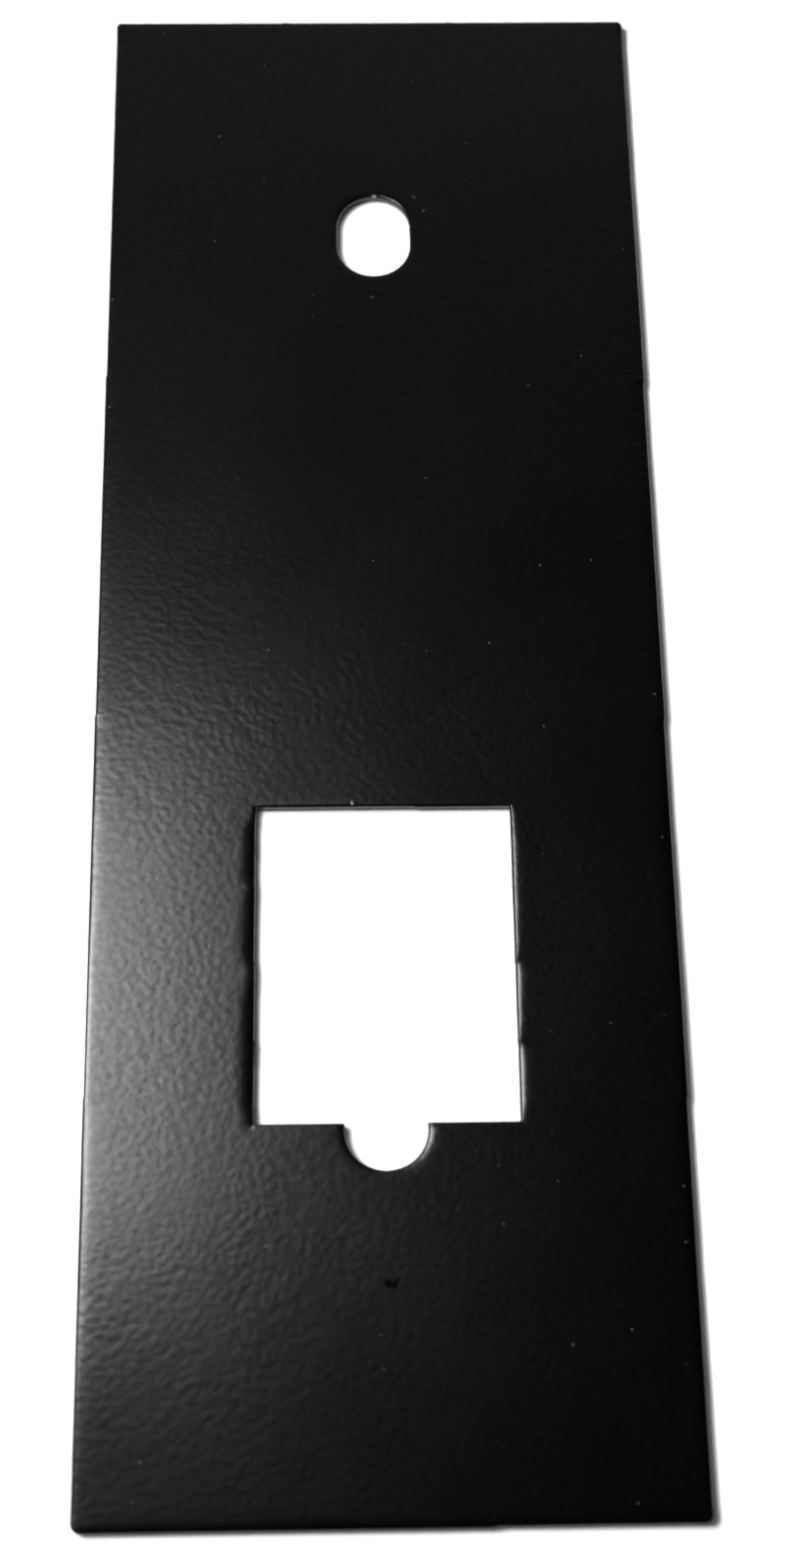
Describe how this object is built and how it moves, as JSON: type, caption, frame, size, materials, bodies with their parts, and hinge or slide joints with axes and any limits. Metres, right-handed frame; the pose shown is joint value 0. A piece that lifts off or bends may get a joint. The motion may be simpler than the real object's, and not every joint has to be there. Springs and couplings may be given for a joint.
{
  "type": "door guard cover plate",
  "caption": "Flat rectangular powder-coated steel guard plate with a rectangular window, a round notch in the window's lower edge and an obround hole near the other end.",
  "frame": {"origin": "centre of the plate's outline on its back face, the face that rests on the door", "axes": "+Z out of the front face, the one with the rolled punched edges; +X across the width; +Y along the length, from the window end towards the end with the obround hole"},
  "size_m": [0.1142, 0.327, 0.0021],
  "materials": {
    "black_powder_coat": "black satin powder coat with a fine orange-peel surface, over punched sheet steel"
  },
  "bodies": {
    "root": {"guard_plate": "black_powder_coat"}
  },
  "joints": []
}
